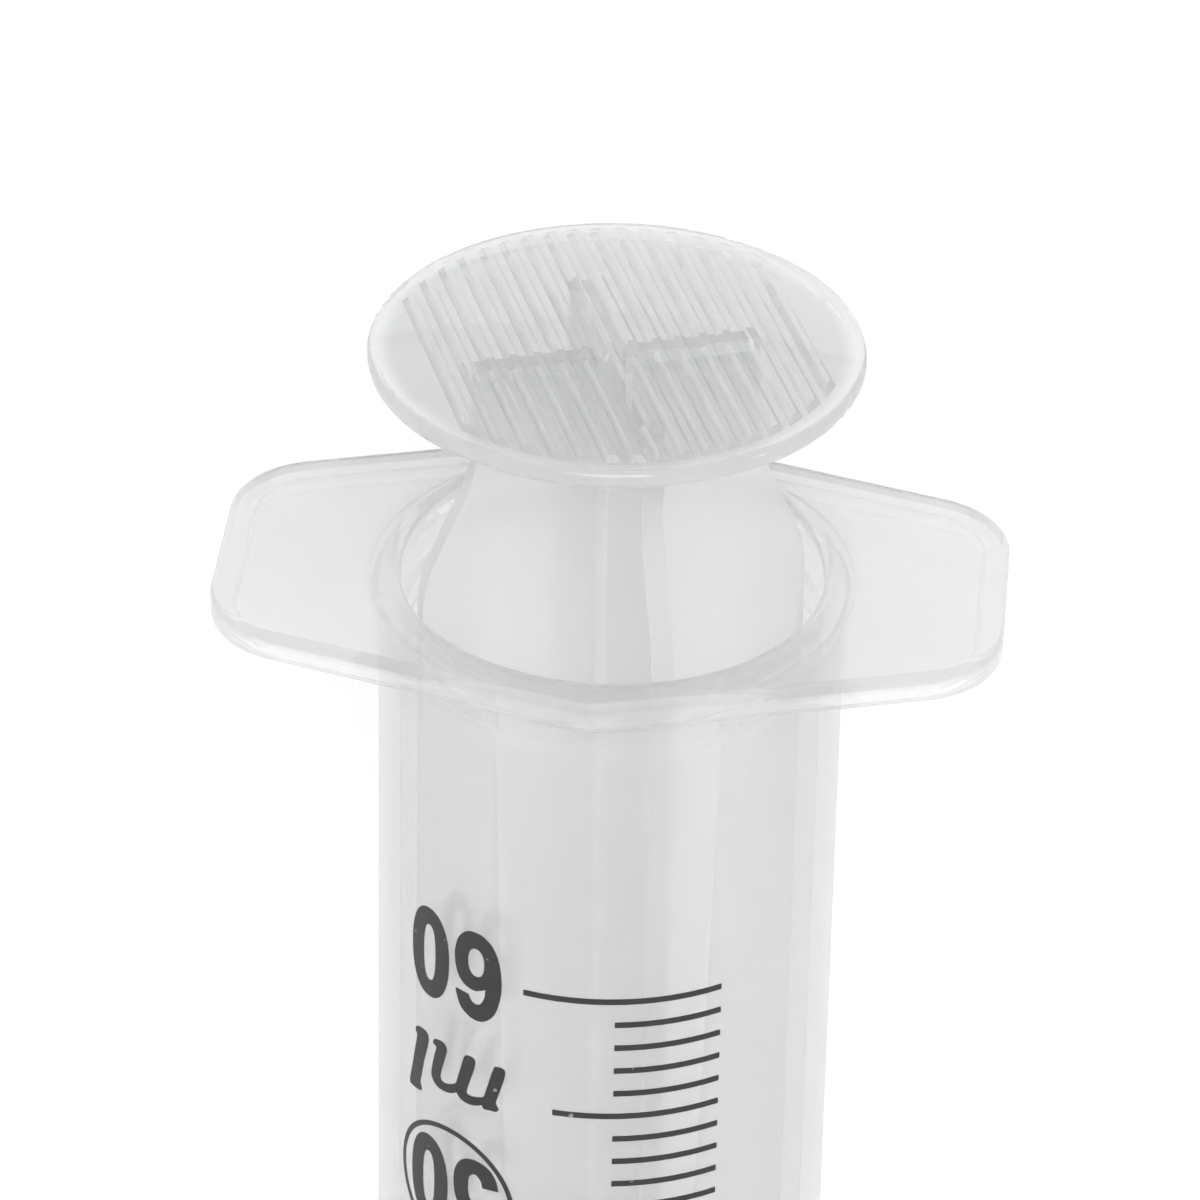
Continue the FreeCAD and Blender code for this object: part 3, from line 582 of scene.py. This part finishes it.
def make_wrap_tree():
    """Cut, thicken and bend a flat plate: x goes round the barrel, y runs down it."""
    tree, given, out = new_geometry_tree("print_round_barrel", [
        ("Radius", "NodeSocketFloat", BARREL_RADIUS), ("Ink Thickness", "NodeSocketFloat", INK_THICKNESS),
        ("Cuts", "NodeSocketInt", PLATE_CUTS), ("Material", "NodeSocketMaterial", None)])

    def math_node(operation, first, second=None):
        """The output of a sum with one or two values."""
        values = {"i0": first} if second is None else {"i0": first, "i1": second}
        return add_node(tree, "ShaderNodeMath", {"operation": operation}, **values).outputs[0]

    fine = add_node(tree, "GeometryNodeSubdivideMesh", Mesh=given.outputs["Geometry"],
                    Level=given.outputs["Cuts"])
    raised = add_node(tree, "GeometryNodeExtrudeMesh", {"mode": "FACES"}, Mesh=fine.outputs[0],
                      Individual=False, Offset_Scale=given.outputs["Ink Thickness"])
    under = add_node(tree, "GeometryNodeFlipFaces", Mesh=fine.outputs[0])
    both = add_node(tree, "GeometryNodeJoinGeometry")
    tree.links.new(raised.outputs["Mesh"], both.inputs[0])
    tree.links.new(under.outputs["Mesh"], both.inputs[0])
    welded = add_node(tree, "GeometryNodeMergeByDistance", Geometry=both.outputs[0],
                      Distance=WELD_DISTANCE)
    place = add_node(tree, "GeometryNodeInputPosition")
    flat = add_node(tree, "ShaderNodeSeparateXYZ", Vector=place.outputs[0])
    angle = math_node("DIVIDE", flat.outputs["X"], given.outputs["Radius"])
    reach = math_node("ADD", flat.outputs["Z"], given.outputs["Radius"])
    across = math_node("MULTIPLY", math_node("SINE", angle), reach)
    outward = math_node("MULTIPLY", math_node("COSINE", angle), reach)
    bent = add_node(tree, "ShaderNodeCombineXYZ", X=math_node("MULTIPLY", across, -1.0),
                    Y=math_node("MULTIPLY", outward, -1.0), Z=math_node("MULTIPLY", flat.outputs["Y"], -1.0))
    wrapped = add_node(tree, "GeometryNodeSetPosition", Geometry=welded.outputs[0],
                       Position=bent.outputs[0])
    solid = add_node(tree, "GeometryNodeRealizeInstances", Geometry=wrapped.outputs[0])
    finish = add_node(tree, "GeometryNodeSetMaterial", Geometry=solid.outputs[0],
                      Material=given.outputs["Material"])
    tree.links.new(finish.outputs[0], out.inputs["Geometry"])
    return tree


def place_piece(piece, matrix):
    """Bake the place into the mesh, in metres, and leave the object at the origin."""
    piece.data.transform(matrix @ Matrix.Scale(MM, 4))
    piece.data.update()
    return piece


numbers = run_tree(plate, make_wrap_tree(), {"Radius": BARREL_RADIUS, "Ink Thickness": INK_THICKNESS,
                                             "Cuts": PLATE_CUTS, "Material": scale_ink}, "scale_numbers")
place_piece(numbers, viewer_place)
bpy.data.objects.remove(plate)
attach(numbers, "barrel")
print("numbers", len(numbers.data.polygons), "faces")

# %% [markdown]
# ## Thread of the lock collar
# Inside the collar round the nozzle runs a thread with two starts: two ridges that wind
# side by side and climb 5 mm in one turn, so half a turn locks a fitting. A helix is a
# curve primitive in Geometry Nodes. The tree sweeps a small section along it, copies the
# ridge to each start, and fades the ends so that the ridges run out as the real ones do.

# %% Geometry Nodes: thread with starts
COLLAR_END = -12.1
COLLAR_BORE = 4.0
THREAD_CREST = 3.5
THREAD_LEAD = 5.0
THREAD_TURNS = 1.05
THREAD_STARTS = 2
THREAD_INSET = 0.6
ROOT_WIDTH = 1.15
CREST_WIDTH = 0.55
HELIX_STEPS = 72
FADE_FROM = 0.40
FADE_TO = 0.12


def make_thread_tree():
    """Sweep a section along a helix, fade its ends and copy it to each start."""
    tree, given, out = new_geometry_tree("thread_with_starts", [
        ("Bore Radius", "NodeSocketFloat", COLLAR_BORE), ("Crest Radius", "NodeSocketFloat", THREAD_CREST),
        ("Lead", "NodeSocketFloat", THREAD_LEAD), ("Turns", "NodeSocketFloat", THREAD_TURNS),
        ("Starts", "NodeSocketInt", THREAD_STARTS), ("Material", "NodeSocketMaterial", None)])
    rise = add_node(tree, "ShaderNodeMath", {"operation": "MULTIPLY"}, i0=given.outputs["Lead"],
                    i1=given.outputs["Turns"])
    helix = add_node(tree, "GeometryNodeCurveSpiral", Resolution=HELIX_STEPS,
                     Rotations=given.outputs["Turns"], Start_Radius=given.outputs["Bore Radius"],
                     End_Radius=given.outputs["Bore Radius"], Height=rise.outputs[0])
    upright = add_node(tree, "GeometryNodeSetCurveNormal", {"mode": "Z_UP"}, Curve=helix.outputs[0])
    along = add_node(tree, "GeometryNodeSplineParameter")
    centred = add_node(tree, "ShaderNodeMath", {"operation": "SUBTRACT"}, i0=along.outputs["Factor"], i1=0.5)
    ends = add_node(tree, "ShaderNodeMath", {"operation": "ABSOLUTE"}, i0=centred.outputs[0])
    fade = add_node(tree, "ShaderNodeMapRange", {"interpolation_type": "SMOOTHSTEP"},
                    Value=ends.outputs[0], i1=FADE_FROM, i2=0.5, i3=1.0, i4=FADE_TO)
    faded = add_node(tree, "GeometryNodeSetCurveRadius", Curve=upright.outputs[0], Radius=fade.outputs[0])
    depth = add_node(tree, "ShaderNodeMath", {"operation": "SUBTRACT"}, i0=given.outputs["Bore Radius"],
                     i1=given.outputs["Crest Radius"])
    section_depth = add_node(tree, "ShaderNodeMath", {"operation": "MULTIPLY"}, i0=depth.outputs[0], i1=2.0)
    section = add_node(tree, "GeometryNodeCurvePrimitiveQuadrilateral", {"mode": "TRAPEZOID"},
                       Height=section_depth.outputs[0], Bottom_Width=ROOT_WIDTH, Top_Width=CREST_WIDTH,
                       Offset=0.0)
    swept = add_node(tree, "GeometryNodeCurveToMesh", Curve=faded.outputs[0],
                     Profile_Curve=section.outputs[0], Fill_Caps=True)
    starts = add_node(tree, "GeometryNodeMeshLine", Count=given.outputs["Starts"], Offset=(0, 0, 0))
    index = add_node(tree, "GeometryNodeInputIndex")
    step = add_node(tree, "ShaderNodeMath", {"operation": "DIVIDE"}, i0=2 * math.pi,
                    i1=given.outputs["Starts"])
    turn = add_node(tree, "ShaderNodeMath", {"operation": "MULTIPLY"}, i0=index.outputs[0],
                    i1=step.outputs[0])
    rotation = add_node(tree, "ShaderNodeCombineXYZ", Z=turn.outputs[0])
    copies = add_node(tree, "GeometryNodeInstanceOnPoints", Points=starts.outputs[0],
                      Instance=swept.outputs[0], Rotation=rotation.outputs[0])
    solid = add_node(tree, "GeometryNodeRealizeInstances", Geometry=copies.outputs[0])
    finish = add_node(tree, "GeometryNodeSetMaterial", Geometry=solid.outputs[0],
                      Material=given.outputs["Material"])
    tree.links.new(finish.outputs[0], out.inputs["Geometry"])
    return tree


seed = bpy.data.objects.new("thread_seed", bpy.data.meshes.new("thread_seed"))
bpy.context.scene.collection.objects.link(seed)
thread = run_tree(seed, make_thread_tree(), {"Bore Radius": COLLAR_BORE, "Crest Radius": THREAD_CREST,
                                             "Lead": THREAD_LEAD, "Turns": THREAD_TURNS,
                                             "Starts": THREAD_STARTS, "Material": barrel_plastic},
                  "lock_thread")
bpy.data.objects.remove(seed)
thread_start = Vector((0, 0, COLLAR_END + THREAD_INSET)) * MM
place_piece(thread, syringe_axes @ Matrix.Translation(thread_start))
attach(thread, "barrel")
print("thread", len(thread.data.polygons), "faces", [round(v, 4) for v in thread.bound_box[0]])

# %% [markdown]
# ## Table and surroundings
# The picture has a pure white ground. The table is white plastic: to the camera, and in
# reflections and through the clear plastic, it glows evenly white, and a share of plain
# diffuse white keeps the soft shadow where the syringe lies. The world round it does the
# same, and gives everything else an even, slightly dimmer light.

# %% Table and world
TABLE_HALF = 0.9
TABLE_GLOW = 0.80
TABLE_PLAIN = 0.25
TABLE_DROP = 0.00005
WORLD_LIGHT = 0.68


def seen_directly(tree):
    """1 for rays from the camera, a reflection or a clear body, else 0."""
    ray = add_node(tree, "ShaderNodeLightPath")
    first = add_node(tree, "ShaderNodeMath", {"operation": "MAXIMUM"}, i0=ray.outputs["Is Camera Ray"],
                     i1=ray.outputs["Is Glossy Ray"])
    return add_node(tree, "ShaderNodeMath", {"operation": "MAXIMUM"}, i0=first.outputs[0],
                    i1=ray.outputs["Is Transmission Ray"]).outputs[0]


def make_table():
    """The white table top, a hair below the syringe so that the two never share a plane."""
    mesh = bpy.data.meshes.new("table")
    h = TABLE_HALF
    mesh.from_pydata([(-h, -h, 0), (h, -h, 0), (h, h, 0), (-h, h, 0)], [], [(0, 1, 2, 3)])
    table = bpy.data.objects.new("table", mesh)
    bpy.context.scene.collection.objects.link(table)
    table.location.z = -TABLE_DROP
    material = bpy.data.materials.new("table_white")
    material.use_nodes = True
    tree = material.node_tree
    tree.nodes.clear()
    out = tree.nodes.new("ShaderNodeOutputMaterial")
    glow = add_node(tree, "ShaderNodeEmission", Color=(1, 1, 1, 1), Strength=TABLE_GLOW)
    plain = add_node(tree, "ShaderNodeBsdfDiffuse", Color=(TABLE_PLAIN, TABLE_PLAIN, TABLE_PLAIN, 1))
    white = add_node(tree, "ShaderNodeAddShader", i0=glow.outputs[0], i1=plain.outputs[0])
    real = add_node(tree, "ShaderNodeBsdfDiffuse", Color=(0.8, 0.8, 0.8, 1))
    mix = add_node(tree, "ShaderNodeMixShader", i0=seen_directly(tree), i1=real.outputs[0],
                   i2=white.outputs[0])
    tree.links.new(mix.outputs[0], out.inputs["Surface"])
    mesh.materials.append(material)


def make_world():
    """White where it is seen, and a little dimmer as light."""
    world = bpy.data.worlds.new("studio")
    bpy.context.scene.world = world
    world.use_nodes = True
    tree = world.node_tree
    tree.nodes.clear()
    out = tree.nodes.new("ShaderNodeOutputWorld")
    white = add_node(tree, "ShaderNodeBackground", Color=(1, 1, 1, 1), Strength=1.0)
    soft = add_node(tree, "ShaderNodeBackground", Color=(1, 1, 1, 1), Strength=WORLD_LIGHT)
    mix = add_node(tree, "ShaderNodeMixShader", i0=seen_directly(tree), i1=soft.outputs[0],
                   i2=white.outputs[0])
    tree.links.new(mix.outputs[0], out.inputs["Surface"])


make_table()
make_world()
print("table and world", TABLE_HALF, WORLD_LIGHT)

# %% [markdown]
# ## Light
# The white world already lights the syringe evenly, as a product photographer's light tent
# does. One broad lamp stands high on the thumb disc's side and gives the soft bands of
# gloss along the flange and the disc. A small weak one on the other side adds a fine edge.
# Light that has passed through many walls hardly shows any more, so each lamp stops after
# four bounces, which saves a good deal of time.

# %% Lamps
LAMP_BOUNCES = 4


def soft_lamp(name, place, aim, size, power):
    """A square lamp at a place, turned to face a point."""
    lamp = bpy.data.lights.new(name, "AREA")
    lamp.shape = "SQUARE"
    lamp.size = size
    lamp.energy = power
    lamp.cycles.max_bounces = LAMP_BOUNCES
    shown = bpy.data.objects.new(name, lamp)
    bpy.context.scene.collection.objects.link(shown)
    place, aim = Vector(place), Vector(aim)
    shown.location = place
    shown.rotation_euler = (aim - place).to_track_quat("-Z", "Y").to_euler()
    print(name, "at, mm", [round(v / MM) for v in place], "power", power, "W")


soft_lamp("lamp_over", (0.12, -0.55, 0.55), (0, -0.05, 0.015), 0.4, 3.4)
soft_lamp("lamp_side", (-0.5, -0.4, 0.35), (0, -0.06, 0.015), 0.1, 0.4)
bpy.context.scene.view_settings.view_transform = "Standard"
